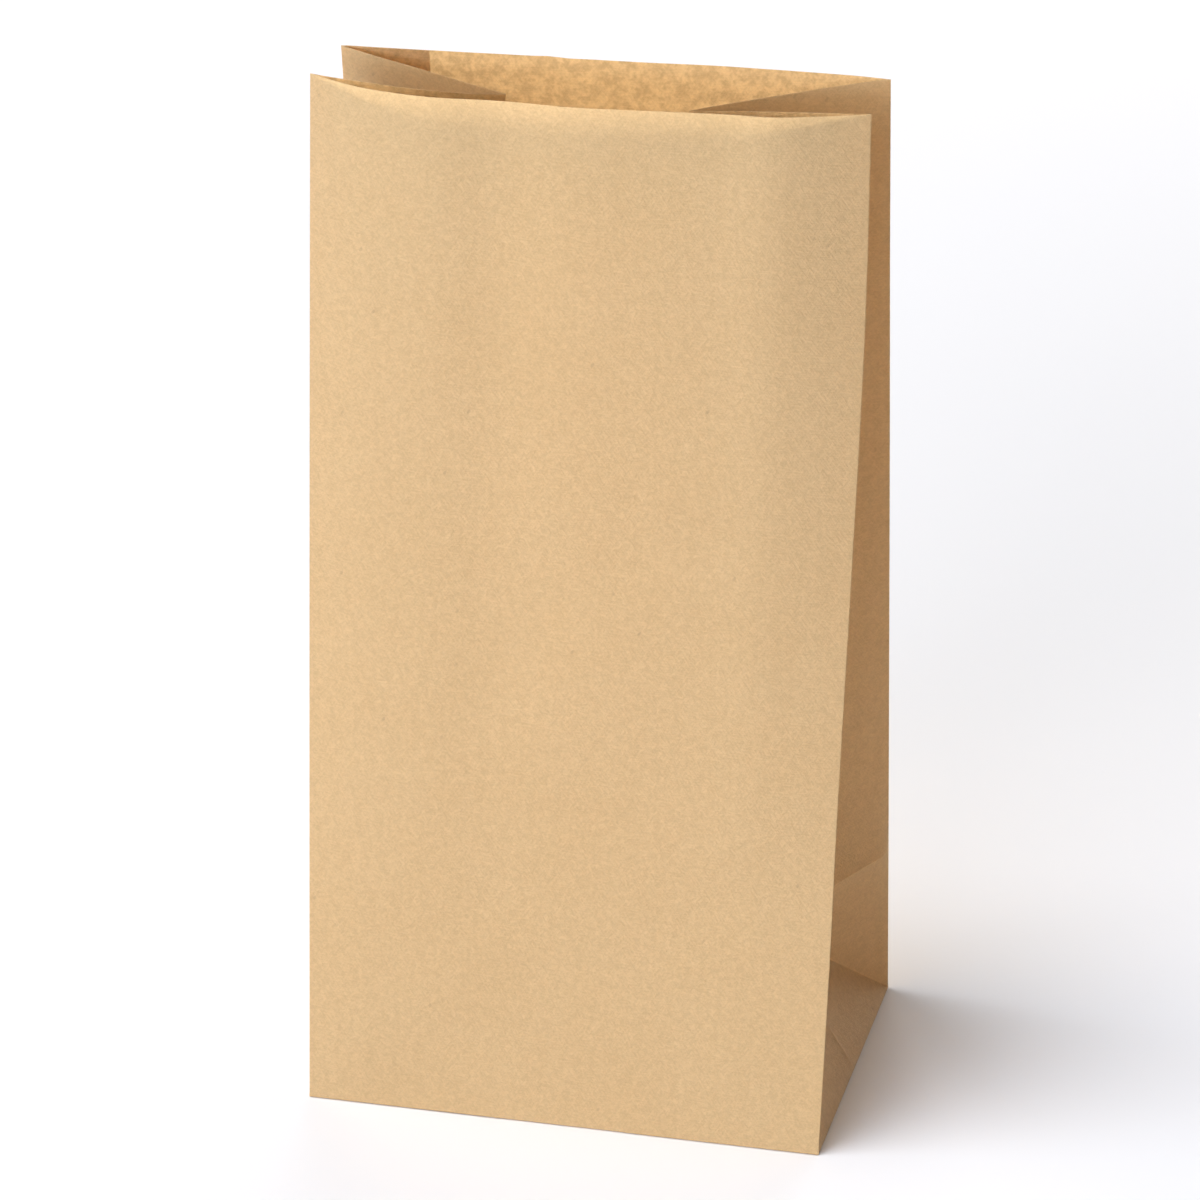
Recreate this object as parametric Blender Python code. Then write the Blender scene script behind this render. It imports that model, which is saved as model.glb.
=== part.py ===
"""Brown paper lunch bag, standing open.

One sheet of kraft paper is lapped and glued into a tube down the back, pleated inward at
both sides, and folded into a flat block bottom. The tube is laid out in sheet terms, as a
distance round the bag and a height up the sheet, and each point is then placed on its
folded facet. Metres, +Z up. X runs along the width, the front faces -Y, and the origin is
on the floor under the middle of the base.
"""
import math
from typing import NamedTuple

import bmesh
import bpy
from mathutils import Vector

MM = 0.001

# Sheet and flat sizes
BASE_WIDTH = 155.6 * MM
BASE_DEPTH = 104.8 * MM
SHEET_HEIGHT = 315.9 * MM
PAPER = 0.12 * MM
LAP_WIDTH = 25.7 * MM
FLAP_LENGTH = 59.0 * MM
FOLD_RADIUS = 0.2 * MM


class Stance(NamedTuple):
    """How one pleated side of the bag stands open."""

    lean: float
    gap: float
    centre: float
    front_spread: float
    back_spread: float
    sway: float
    pull: float
    front_bow: float


# lean: how far the bottom's side triangle leans inward from upright
# gap, centre: the space between the front and back corners of the mouth, and where it lies
# front_spread, back_spread: how far those corners stand out past the base
# sway, pull: how far the centre fold's top is off to one side, and drawn inward
# front_bow: how far the pleat's front half bows forward at the mouth
LEFT = Stance(lean=math.radians(31.9), gap=26.8 * MM, centre=-5.4 * MM, front_spread=1.9 * MM,
              back_spread=0.3 * MM, sway=0.9 * MM, pull=1.3 * MM, front_bow=4.0 * MM)
RIGHT = Stance(lean=math.radians(31.6), gap=27.7 * MM, centre=0.0, front_spread=5.0 * MM,
               back_spread=5.0 * MM, sway=-6.8 * MM, pull=2.5 * MM, front_bow=0.0)

# How far the panels bow at the mouth, and how much less the front does so to the right
FRONT_BULGE = 13.0 * MM
FRONT_BULGE_LEAN = 0.25
BACK_BULGE = 1.5 * MM

# The set left in the paper by the cross crease, and how far up and down it dies away
CREASE_SET = 0.7 * MM
CREASE_REACH = 26.0 * MM

# Fineness of the mesh
PANEL_STATIONS = 9
PLEAT_STATIONS = 6
UPPER_ROWS = 6
FOLD_STEPS = 4
MIN_FOLD_REACH = 0.5 * MM
FLAT_TURN = math.radians(2)
LAP_EDGE = 0.05 * MM

# Small distances between the glued plies: how far joined solids run into each other, and
# how far the side flaps stay clear of the walls they lie beside
JOIN = 0.03 * MM
PLY_CLEARANCE = 0.3 * MM

HALF_WIDTH = BASE_WIDTH / 2
HALF_DEPTH = BASE_DEPTH / 2
FLOOR_HEIGHT = 2 * PAPER
WALL_HEIGHT = SHEET_HEIGHT - FLOOR_HEIGHT
KRAFT_COLOUR = (0.56, 0.36, 0.20, 1.0)
KRAFT_ROUGHNESS = 0.85


def clear_scene():
    """Remove every object, so that the scene holds only the bag."""
    for item in list(bpy.data.objects):
        bpy.data.objects.remove(item, do_unlink=True)


def kraft_paper():
    """The uncoated brown paper that the whole bag is folded from."""
    material = bpy.data.materials.new("kraft_paper")
    material.use_nodes = True
    shader = material.node_tree.nodes["Principled BSDF"]
    shader.inputs["Base Color"].default_value = KRAFT_COLOUR
    shader.inputs["Roughness"].default_value = KRAFT_ROUGHNESS
    shader.inputs["Metallic"].default_value = 0.0
    material.diffuse_color = KRAFT_COLOUR
    return material


def raised(foot, x, y, length):
    """The top end of a straight line of the given length that rises from foot to (x, y)."""
    run = math.hypot(x - foot.x, y - foot.y)
    return Vector((x, y, foot.z + math.sqrt(length * length - run * run)))


class Side:
    """One pleated side: its base corners, side triangle, mouth corners and centre fold."""

    def __init__(self, sign, stance):
        self.sign = sign
        self.front_bow = stance.front_bow
        edge = sign * HALF_WIDTH
        front = stance.centre - stance.gap / 2
        back = stance.centre + stance.gap / 2
        self.front_foot = Vector((edge, -HALF_DEPTH, FLOOR_HEIGHT))
        self.back_foot = Vector((edge, HALF_DEPTH, FLOOR_HEIGHT))
        self.slope = Vector((-sign * math.sin(stance.lean), 0.0, math.cos(stance.lean)))
        self.apex = Vector((edge, 0.0, FLOOR_HEIGHT)) + self.slope * HALF_DEPTH
        self.front_top = raised(self.front_foot, edge + sign * stance.front_spread, front, WALL_HEIGHT)
        self.back_top = raised(self.back_foot, edge + sign * stance.back_spread, back, WALL_HEIGHT)
        middle = (self.front_top + self.back_top) / 2
        inner = middle.x - sign * (HALF_DEPTH + stance.pull)
        self.fold_top = raised(self.apex, inner, middle.y + stance.sway, WALL_HEIGHT - HALF_DEPTH)

    def point(self, front, across, height):
        """A point of the pleat, by its distance from the front or back edge and its height."""
        foot = self.front_foot if front else self.back_foot
        top = self.front_top if front else self.back_top
        if height < across:
            along = Vector((0.0, across if front else -across, 0.0))
            return foot + along + self.slope * height
        share = across / HALF_DEPTH
        low = foot.lerp(self.apex, share)
        high = top.lerp(self.fold_top, share)
        if front:
            high.y -= self.front_bow * math.sin(math.pi * share)
        place = low.lerp(high, (height - across) / (WALL_HEIGHT - across))
        if not front:
            place.x += self.sign * crease_set(height) * (1 - share)
        return place


def crease_set(height):
    """How far the sheet stays bent at the cross crease, half a base depth above the floor."""
    return CREASE_SET * max(0.0, 1 - abs(height - HALF_DEPTH) / CREASE_REACH)


def front_point(left, right, share, height):
    """A point of the front panel, which bows forward towards the mouth."""
    foot = left.front_foot.lerp(right.front_foot, share)
    chord = left.front_top.lerp(right.front_top, share)
    bulge = FRONT_BULGE * (1 - (2 * share - 1) ** 4) * (1 - FRONT_BULGE_LEAN * share)
    top = raised(foot, chord.x, chord.y - bulge, WALL_HEIGHT)
    return foot.lerp(top, height / WALL_HEIGHT)


def back_point(left, right, share, height):
    """A point of the back panel, which keeps a slight hollow along its cross crease."""
    foot = left.back_foot.lerp(right.back_foot, share)
    chord = left.back_top.lerp(right.back_top, share)
    hump = math.sin(math.pi * share)
    top = raised(foot, chord.x, chord.y + BACK_BULGE * hump, WALL_HEIGHT)
    place = foot.lerp(top, height / WALL_HEIGHT)
    place.y -= crease_set(height) * hump
    return place


def fold_arc(before, corner, after):
    """The points of a rounded fold at corner, between its neighbours along the ring."""
    into = before - corner
    out = after - corner
    half_angle = into.angle(out) / 2
    reach = max(FOLD_RADIUS / math.tan(half_angle), MIN_FOLD_REACH)
    start = corner + into.normalized() * reach
    end = corner + out.normalized() * reach
    turn = math.pi - 2 * half_angle
    points = []
    for step in range(FOLD_STEPS + 1):
        share = step / FOLD_STEPS
        if turn < FLAT_TURN:
            points.append(start.lerp(end, share))
            continue
        radius = reach * math.tan(half_angle)
        bisector = (into.normalized() + out.normalized()).normalized()
        centre = corner + bisector * (radius / math.sin(half_angle))
        sideways = (end - start).normalized()
        angle = (share - 0.5) * turn
        points.append(centre - bisector * radius * math.cos(angle) + sideways * radius * math.sin(angle))
    return points


def ring_layout(left, right):
    """The runs of flat paper round the bag, each a list of functions of the height.

    They go anticlockwise seen from above, from the front panel's left end. The second
    item tells which way a run crosses the bottom diagonal, 1 from edge to centre fold,
    -1 from centre fold to edge, and 0 for a panel.
    """
    panel = [(index + 0.5) / PANEL_STATIONS for index in range(PANEL_STATIONS)]
    lap = LAP_WIDTH / BASE_WIDTH
    clear_of_lap = [share for share in panel if share > lap + 0.5 / PANEL_STATIONS]
    back = clear_of_lap[::-1] + [lap + LAP_EDGE / BASE_WIDTH, lap, lap / 2]
    pleat = [HALF_DEPTH * index / PLEAT_STATIONS for index in range(1, PLEAT_STATIONS)]
    outward = pleat[::-1]
    return [
        ([lambda h, s=s: front_point(left, right, s, h) for s in panel], 0),
        ([lambda h, c=c: right.point(True, c, h) for c in pleat], 1),
        ([lambda h, c=c: right.point(False, c, h) for c in outward], -1),
        ([lambda h, s=s: back_point(left, right, s, h) for s in back], 0),
        ([lambda h, c=c: left.point(False, c, h) for c in pleat], 1),
        ([lambda h, c=c: left.point(True, c, h) for c in outward], -1),
    ]


def fold_places(left, right):
    """The fold that follows each run of the ring, as a function of the height."""
    return [
        lambda h: right.point(True, 0.0, h),
        lambda h: right.point(True, HALF_DEPTH, h),
        lambda h: right.point(False, 0.0, h),
        lambda h: left.point(False, 0.0, h),
        lambda h: left.point(False, HALF_DEPTH, h),
        lambda h: left.point(True, 0.0, h),
    ]


def ring_points(layout, folds, height):
    """One closed row of points round the bag at a height up the sheet."""
    runs = [[place(height) for place in run] for run, _ in layout]
    points = []
    for index, run in enumerate(runs):
        following = runs[(index + 1) % len(runs)]
        points.extend(run)
        points.extend(fold_arc(run[-1], folds[index](height), following[0]))
    return points


def row_heights():
    """Row heights: the bottom rows match the pleat stations, so diagonals meet corners."""
    lower = [HALF_DEPTH * index / PLEAT_STATIONS for index in range(PLEAT_STATIONS + 1)]
    step = (WALL_HEIGHT - BASE_DEPTH) / UPPER_ROWS
    middle = [HALF_DEPTH * 1.5, BASE_DEPTH]
    return lower + middle + [BASE_DEPTH + step * index for index in range(1, UPPER_ROWS + 1)]


def diagonal_cells(layout):
    """Which column and row cells the bottom diagonals cross, and which way they rise."""
    cells = {}
    column = 0
    for run, direction in layout:
        if direction == 1:
            for index in range(PLEAT_STATIONS):
                cells[(column - 1 + index, index)] = 1
        if direction == -1:
            for index in range(PLEAT_STATIONS):
                cells[(column - 1 + index, PLEAT_STATIONS - 1 - index)] = -1
        column += len(run) + FOLD_STEPS + 1
    return cells


def lap_columns(layout):
    """The columns of the back panel that lie on the glued lap, with the corner fold."""
    first = sum(len(run) + FOLD_STEPS + 1 for run, _ in layout[:3])
    count = len(layout[3][0])
    return range(first + count - 2, first + count + FOLD_STEPS // 2)


def bag_skin(left, right):
    """The bag's outer surface as an open mesh: walls, pleats and a flat floor."""
    layout = ring_layout(left, right)
    folds = fold_places(left, right)
    cells = diagonal_cells(layout)
    mesh = bmesh.new()
    rows = []
    for height in row_heights():
        rows.append([mesh.verts.new(point) for point in ring_points(layout, folds, height)])
    count = len(rows[0])
    for row, (low, high) in enumerate(zip(rows, rows[1:])):
        for column in range(count):
            after = (column + 1) % count
            corners = [low[column], low[after], high[after], high[column]]
            rise = cells.get((column, row), 0)
            if rise == 1:
                mesh.faces.new([corners[0], corners[1], corners[2]])
                mesh.faces.new([corners[0], corners[2], corners[3]])
            elif rise == -1:
                mesh.faces.new([corners[0], corners[1], corners[3]])
                mesh.faces.new([corners[1], corners[2], corners[3]])
            else:
                mesh.faces.new(corners)
    mesh.faces.new(rows[0][::-1])
    mesh.verts.index_update()
    doubled = [row[column].index for row in rows for column in lap_columns(layout)]
    return mesh, doubled


def ply(name, outline, low, high):
    """A flat layer of glued paper, as a helper solid that is joined to the bag."""
    mesh = bmesh.new()
    face = mesh.faces.new([mesh.verts.new((x, y, low)) for x, y in outline])
    grown = bmesh.ops.extrude_face_region(mesh, geom=[face])
    lifted = [item for item in grown["geom"] if isinstance(item, bmesh.types.BMVert)]
    bmesh.ops.translate(mesh, vec=(0.0, 0.0, high - low), verts=lifted)
    bmesh.ops.recalc_face_normals(mesh, faces=mesh.faces)
    data = bpy.data.meshes.new(name)
    mesh.to_mesh(data)
    mesh.free()
    helper = bpy.data.objects.new(name, data)
    bpy.context.scene.collection.objects.link(helper)
    helper.hide_render = True
    helper.display_type = "WIRE"
    return helper


def bottom_plies():
    """The block bottom's layers: two side flaps inside, and two main flaps outside."""
    hinge = HALF_DEPTH - JOIN
    past = FLAP_LENGTH - HALF_DEPTH
    tip = HALF_WIDTH - FLAP_LENGTH
    side = HALF_WIDTH - JOIN
    back = [(-side, hinge), (side, hinge), (tip, -past), (-tip, -past)]
    front = [(-side, -hinge), (side, -hinge), (tip, past), (-tip, past)]
    plies = [
        ply("front_flap", front, FLOOR_HEIGHT - PAPER, FLOOR_HEIGHT + JOIN),
        ply("back_flap", back, 0.0, FLOOR_HEIGHT + JOIN),
    ]
    low = FLOOR_HEIGHT + PAPER - JOIN
    high = FLOOR_HEIGHT + 2 * PAPER
    deep = HALF_DEPTH - PAPER - PLY_CLEARANCE
    outer = HALF_WIDTH - PAPER - 2 * PLY_CLEARANCE
    for label, sign in (("left", -1), ("right", 1)):
        flap = [(sign * outer, -deep), (sign * outer, deep), (sign * tip, deep), (sign * tip, -deep)]
        plies.append(ply(label + "_flap", flap, low, high))
    return plies


def paper_bag():
    """The whole bag: its folded skin given the paper's thickness, joined to its plies."""
    left = Side(-1, LEFT)
    right = Side(1, RIGHT)
    mesh, doubled = bag_skin(left, right)
    data = bpy.data.meshes.new("paper_bag")
    mesh.to_mesh(data)
    mesh.free()
    data.shade_smooth()
    data.set_sharp_from_angle(angle=math.radians(30))
    data.materials.append(kraft_paper())
    bag = bpy.data.objects.new("paper_bag", data)
    bpy.context.scene.collection.objects.link(bag)
    group = bag.vertex_groups.new(name="glued_lap")
    group.add(doubled, 1.0, "REPLACE")

    wall = bag.modifiers.new("paper_thickness", "SOLIDIFY")
    wall.thickness = 2 * PAPER
    wall.offset = -1.0
    wall.use_even_offset = True
    wall.use_quality_normals = True
    wall.vertex_group = group.name
    wall.thickness_vertex_group = 0.5
    for helper in bottom_plies():
        joint = bag.modifiers.new("glue_" + helper.name, "BOOLEAN")
        joint.operation = "UNION"
        joint.solver = "EXACT"
        joint.object = helper
    return bag


clear_scene()
paper_bag()
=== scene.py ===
"""Brown paper lunch bag, standing open on a pale floor under soft studio light.

The bag is made the way the real one is. One flat sheet is laid out as a distance round the
bag and a height up the sheet, scored along its folds, folded into a pleated tube with a
block bottom and a glued lap, and then settled into the soft unevenness of handled paper.
"""
import logging
import math
from collections.abc import Iterable
from dataclasses import dataclass, field
from enum import Enum

import bmesh
import bpy
from mathutils import Matrix, Vector, noise


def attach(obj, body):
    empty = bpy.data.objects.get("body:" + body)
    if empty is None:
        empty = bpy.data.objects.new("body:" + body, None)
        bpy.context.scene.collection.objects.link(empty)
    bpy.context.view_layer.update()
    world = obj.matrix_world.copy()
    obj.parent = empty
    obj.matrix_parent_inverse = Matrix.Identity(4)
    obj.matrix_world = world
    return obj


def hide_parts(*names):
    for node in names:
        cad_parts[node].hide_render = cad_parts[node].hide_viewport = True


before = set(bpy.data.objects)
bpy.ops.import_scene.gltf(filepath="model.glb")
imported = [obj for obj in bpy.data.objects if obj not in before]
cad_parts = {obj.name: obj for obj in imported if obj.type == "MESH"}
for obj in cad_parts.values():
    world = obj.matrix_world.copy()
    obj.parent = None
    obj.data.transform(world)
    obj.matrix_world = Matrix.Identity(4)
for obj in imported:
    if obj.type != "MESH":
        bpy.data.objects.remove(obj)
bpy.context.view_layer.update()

LOG = logging.getLogger("paper_bag")
MM = 0.001
SHEET_UV = "sheet"
FOLD_GAP = "fold_gap"
NODE = "paper_bag"
Triple = tuple[float, float, float]
Socket = bpy.types.NodeSocket


class Hand(Enum):
    """Which side of the bag, with its sign along X."""

    LEFT = -1
    RIGHT = 1


class Half(Enum):
    """Which half of a pleat, with its sign along Y."""

    FRONT = -1
    BACK = 1


class Zone(Enum):
    """The strips of the flat sheet, in order round the bag from the glued lap."""

    LAP = "lap"
    LEFT_PLEAT = "left pleat"
    FRONT = "front"
    RIGHT_PLEAT = "right pleat"
    BACK = "back"

    @property
    def pleated(self) -> bool:
        """Whether the strip is one of the two pleats."""
        return self in (Zone.LEFT_PLEAT, Zone.RIGHT_PLEAT)


def smooth(low: float, high: float, value: float) -> float:
    """A soft step that is 0 below low and 1 above high."""
    share = min(1.0, max(0.0, (value - low) / (high - low)))
    return share * share * (3 - 2 * share)


def raised(foot: Vector, x: float, y: float, length: float) -> Vector:
    """The top end of a straight line of the given length that rises from foot to (x, y)."""
    run = math.hypot(x - foot.x, y - foot.y)
    return Vector((x, y, foot.z + math.sqrt(length * length - run * run)))


def bent(start: Vector, corner: Vector, end: Vector, share: float) -> Vector:
    """A point on the rounded fold that leaves start, turns at corner and meets end."""
    return start.lerp(corner, share).lerp(corner.lerp(end, share), share)


@dataclass(frozen=True)
class SheetSizes:
    """The flat sheet and the bag that it folds into, in metres."""

    base_width: float = 155.6 * MM
    base_depth: float = 104.8 * MM
    sheet_height: float = 315.9 * MM
    paper: float = 0.12 * MM
    ply_gap: float = 0.01 * MM
    lap_width: float = 25.7 * MM
    lap_setback: float = 2.0 * MM
    flap_length: float = 59.0 * MM

    @property
    def half_width(self) -> float:
        """Half of the base's width."""
        return self.base_width / 2

    @property
    def half_depth(self) -> float:
        """Half of the base's depth, which is also how deep a pleat folds in."""
        return self.base_depth / 2

    @property
    def ply(self) -> float:
        """The distance between two sheets that lie on each other."""
        return self.paper + self.ply_gap

    @property
    def floor_height(self) -> float:
        """The height of the walls' feet, over the two outer flaps."""
        return 2 * self.paper

    @property
    def wall_height(self) -> float:
        """The length of paper from the walls' feet to the mouth."""
        return self.sheet_height - self.floor_height

    @property
    def girth(self) -> float:
        """The distance once round the bag."""
        return 2 * (self.base_width + self.base_depth)


@dataclass(frozen=True)
class BowCurve:
    """How far an edge of the mouth bows from straight, by its share along the edge."""

    stations: tuple[tuple[float, float], ...] = ((0.0, 0.0), (1.0, 0.0))

    def at(self, share: float) -> float:
        """The bow at a share of the edge, smoothly between the stations.

        Args:
            share: where along the edge, from 0 to 1.

        Returns:
            The bow in metres.
        """
        knots = self.stations
        share = min(1.0, max(0.0, share))
        index = max(i for i in range(len(knots) - 1) if knots[i][0] <= share)
        (a, low), (b, high) = knots[index], knots[index + 1]
        slopes = []
        for here in (index, index + 1):
            before, after = max(here - 1, 0), min(here + 1, len(knots) - 1)
            rise = knots[after][1] - knots[before][1]
            slopes.append(rise / (knots[after][0] - knots[before][0]) * (b - a))
        t = (share - a) / (b - a)
        return ((2 * t**3 - 3 * t**2 + 1) * low + (t**3 - 2 * t**2 + t) * slopes[0]
                + (3 * t**2 - 2 * t**3) * high + (t**3 - t**2) * slopes[1])


def curve(*pairs: tuple[float, float]) -> BowCurve:
    """A bow curve from pairs of share and bow in millimetres."""
    return BowCurve(tuple((share, bow * MM) for share, bow in pairs))


@dataclass
class PleatedSide:
    """One pleated side: its base corners, side triangle, mouth corners and centre fold."""

    sizes: SheetSizes
    hand: Hand
    lean: float
    gap: float
    centre: float
    front_spread: float
    back_spread: float
    sway: float
    pull: float
    front_bow: BowCurve
    back_bow: BowCurve
    edge_bow: BowCurve = field(default_factory=BowCurve)
    tuck: float = 0.0

    def __post_init__(self) -> None:
        """Work out the corners from the sizes and the stance."""
        sizes, sign = self.sizes, self.hand.value
        edge, deep, tall = sign * sizes.half_width, sizes.half_depth, sizes.wall_height
        self.foot = {half: Vector((edge, half.value * deep, sizes.floor_height)) for half in Half}
        self.slope = Vector((-sign * math.sin(self.lean), 0.0, math.cos(self.lean)))
        self.apex = Vector((edge, 0.0, sizes.floor_height)) + self.slope * deep
        spread = {Half.FRONT: self.front_spread, Half.BACK: self.back_spread}
        self.top = {}
        for half in Half:
            y = self.centre + half.value * self.gap / 2
            self.top[half] = raised(self.foot[half], edge + sign * spread[half], y, tall)
        middle = (self.top[Half.FRONT] + self.top[Half.BACK]) / 2
        inner = middle.x - sign * (deep + self.pull)
        self.fold_top = raised(self.apex, inner, middle.y + self.sway, tall - deep)

    def point(self, half: Half, across: float, height: float) -> Vector:
        """A point of the pleat's wall.

        Args:
            half: the front or the back half of the pleat.
            across: the distance along the paper from that half's outer edge.
            height: the height up the sheet.

        Returns:
            The place in space.
        """
        sizes = self.sizes
        foot, share = self.foot[half], across / sizes.half_depth
        if height < across:
            place = foot + Vector((0.0, -half.value * across, 0.0)) + self.slope * height
        else:
            low = foot.lerp(self.apex, share)
            high = self.top[half].lerp(self.fold_top, share)
            bow = self.front_bow if half is Half.FRONT else self.back_bow
            high = raised(low, high.x, high.y - bow.at(share), sizes.wall_height - across)
            place = low.lerp(high, (height - across) / (sizes.wall_height - across))
            if half is Half.FRONT:
                place.x += self.edge_bow.at(height / sizes.wall_height) * (1 - share) ** 2
        if half is Half.BACK:
            place.y -= self.tuck * (1 - share)
        return place


@dataclass
class WallPanel:
    """The front or the back panel, held between the two pleated sides."""

    sizes: SheetSizes
    half: Half
    left: PleatedSide
    right: PleatedSide
    bow: BowCurve

    def point(self, share: float, height: float) -> Vector:
        """A point of the panel.

        Args:
            share: how far from the left edge to the right one, from 0 to 1.
            height: the height up the sheet.

        Returns:
            The place in space.
        """
        foot = self.left.foot[self.half].lerp(self.right.foot[self.half], share)
        chord = self.left.top[self.half].lerp(self.right.top[self.half], share)
        top = raised(foot, chord.x, chord.y + self.half.value * self.bow.at(share),
                     self.sizes.wall_height)
        place = foot.lerp(top, height / self.sizes.wall_height)
        if self.half is Half.FRONT:
            place.x += self.right.edge_bow.at(height / self.sizes.wall_height) * share**3
        return place


@dataclass(frozen=True)
class SoftCrease:
    """A faint bend left by handling, as a straight line on the sheet.

    Its ends are distances round the bag and heights, rise is how far the line stands out,
    reach is how far to each side the bend spreads, and roundness is how soft its ridge is,
    all in millimetres. It fades in and out between two shares of its length.
    """

    start: tuple[float, float]
    end: tuple[float, float]
    rise: float
    reach: float
    roundness: float = 0.6
    fade_in: tuple[float, float] = (-0.15, 0.25)
    fade_out: tuple[float, float] = (0.75, 1.15)

    def lift(self, along: float, height: float) -> float:
        """How far this crease lifts the sheet at a place, in metres."""
        run = (self.end[0] - self.start[0], self.end[1] - self.start[1])
        length = math.hypot(*run)
        away = (along / MM - self.start[0], height / MM - self.start[1])
        share = (away[0] * run[0] + away[1] * run[1]) / length**2
        aside = abs(away[0] * run[1] - away[1] * run[0]) / length
        fade = smooth(*self.fade_in, share) * (1 - smooth(*self.fade_out, share))
        bend = max(0.0, 1 - math.hypot(aside, self.roundness) / self.reach)
        return self.rise * MM * bend * bend * (3 - 2 * bend) * fade


@dataclass(frozen=True)
class Wave:
    """Smooth unevenness: its rise, its lengths round and up, and its layer of the noise."""

    rise: float
    length_round: float
    length_up: float
    layer: float

    def lift(self, along: float, height: float) -> float:
        """How far this wave lifts the sheet at a place, in metres."""
        place = Vector((along / self.length_round, height / self.length_up, self.layer))
        return self.rise * noise.noise(place)


@dataclass
class PaperSettling:
    """The unevenness of handled paper, as a distance out from the folded sheet."""

    sizes: SheetSizes
    billow: Wave = Wave(0.55 * MM, 62 * MM, 88 * MM, 3.7)
    cockle: Wave = Wave(0.10 * MM, 21 * MM, 29 * MM, 11.2)
    crinkle: Wave = Wave(0.018 * MM, 7 * MM, 8 * MM, 5.1)
    edge_calm: float = 11.0 * MM
    foot_calm: float = 14.0 * MM
    pleat_share: float = 0.6
    crease_set: float = 1.0 * MM
    crease_reach: float = 26.0 * MM
    sharp_set: float = 0.6 * MM
    sharp_reach: float = 5.0 * MM
    imprint_height: float = 106.5 * MM
    pleat_imprint_height: float = 98.0 * MM
    imprint_rise: float = 0.15 * MM
    imprint_reach: float = 1.6 * MM
    creases: tuple[SoftCrease, ...] = ()

    def cross_crease(self, height: float) -> float:
        """How far the crease half a base depth up sets the sheet inwards, in metres."""
        off = abs(height - self.sizes.half_depth)
        wide = max(0.0, 1 - off / self.crease_reach)
        close = max(0.0, 1 - off / self.sharp_reach)
        return self.crease_set * wide + self.sharp_set * close

    def lift(self, zone: Zone, edge_gap: float, along: float, height: float) -> float:
        """How far out from the folded sheet a point lies.

        Args:
            zone: the strip of the sheet.
            edge_gap: the distance to the nearest upright fold.
            along: the distance round the bag.
            height: the height up the sheet.

        Returns:
            The distance along the outward normal, in metres.
        """
        if height <= 0:
            return 0.0
        calm = smooth(0.0, self.edge_calm, edge_gap) * smooth(0.0, self.foot_calm, height)
        if zone is Zone.LAP:
            along += self.sizes.girth
        marks = (self.billow, self.cockle, self.crinkle, *self.creases)
        lift = sum(mark.lift(along, height) for mark in marks)
        off = height - (self.pleat_imprint_height if zone.pleated else self.imprint_height)
        lift += self.imprint_rise * math.exp(-(off / self.imprint_reach) ** 2)
        if zone in (Zone.BACK, Zone.LAP):
            lift -= self.cross_crease(height)
        if zone.pleated:
            lift *= self.pleat_share
        return lift * calm


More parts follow.
